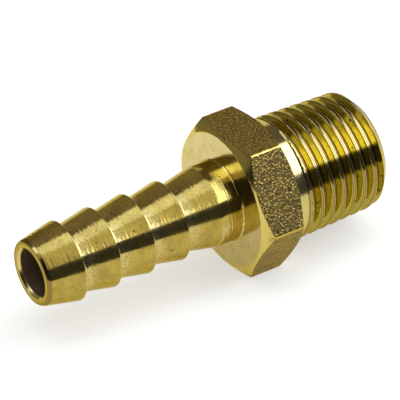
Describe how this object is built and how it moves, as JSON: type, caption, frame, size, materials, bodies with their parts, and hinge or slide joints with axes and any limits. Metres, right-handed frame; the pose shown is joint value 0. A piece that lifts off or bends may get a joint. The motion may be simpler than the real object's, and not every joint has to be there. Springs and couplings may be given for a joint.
{
  "type": "hose barb tail",
  "caption": "Brass hose tail: a barbed spigot for small-bore hose, a spanner hexagon and a taper pipe thread, in one piece with a through bore.",
  "frame": {"origin": "on the bore's axis, in the plane of the hexagon's front face, where the hose end stops", "axes": "+X along the bore towards the threaded end; +Z is square to one flat of the hexagon, so the part lies on the opposite flat; +Y points along the line through two of its corners"},
  "size_m": [0.039, 0.0172, 0.015],
  "materials": {
    "brass": "bright turned brass, with coarse as-forged skin on the flats of the hexagon"
  },
  "bodies": {
    "root": {"hose_barb_tail": "brass"}
  },
  "joints": []
}
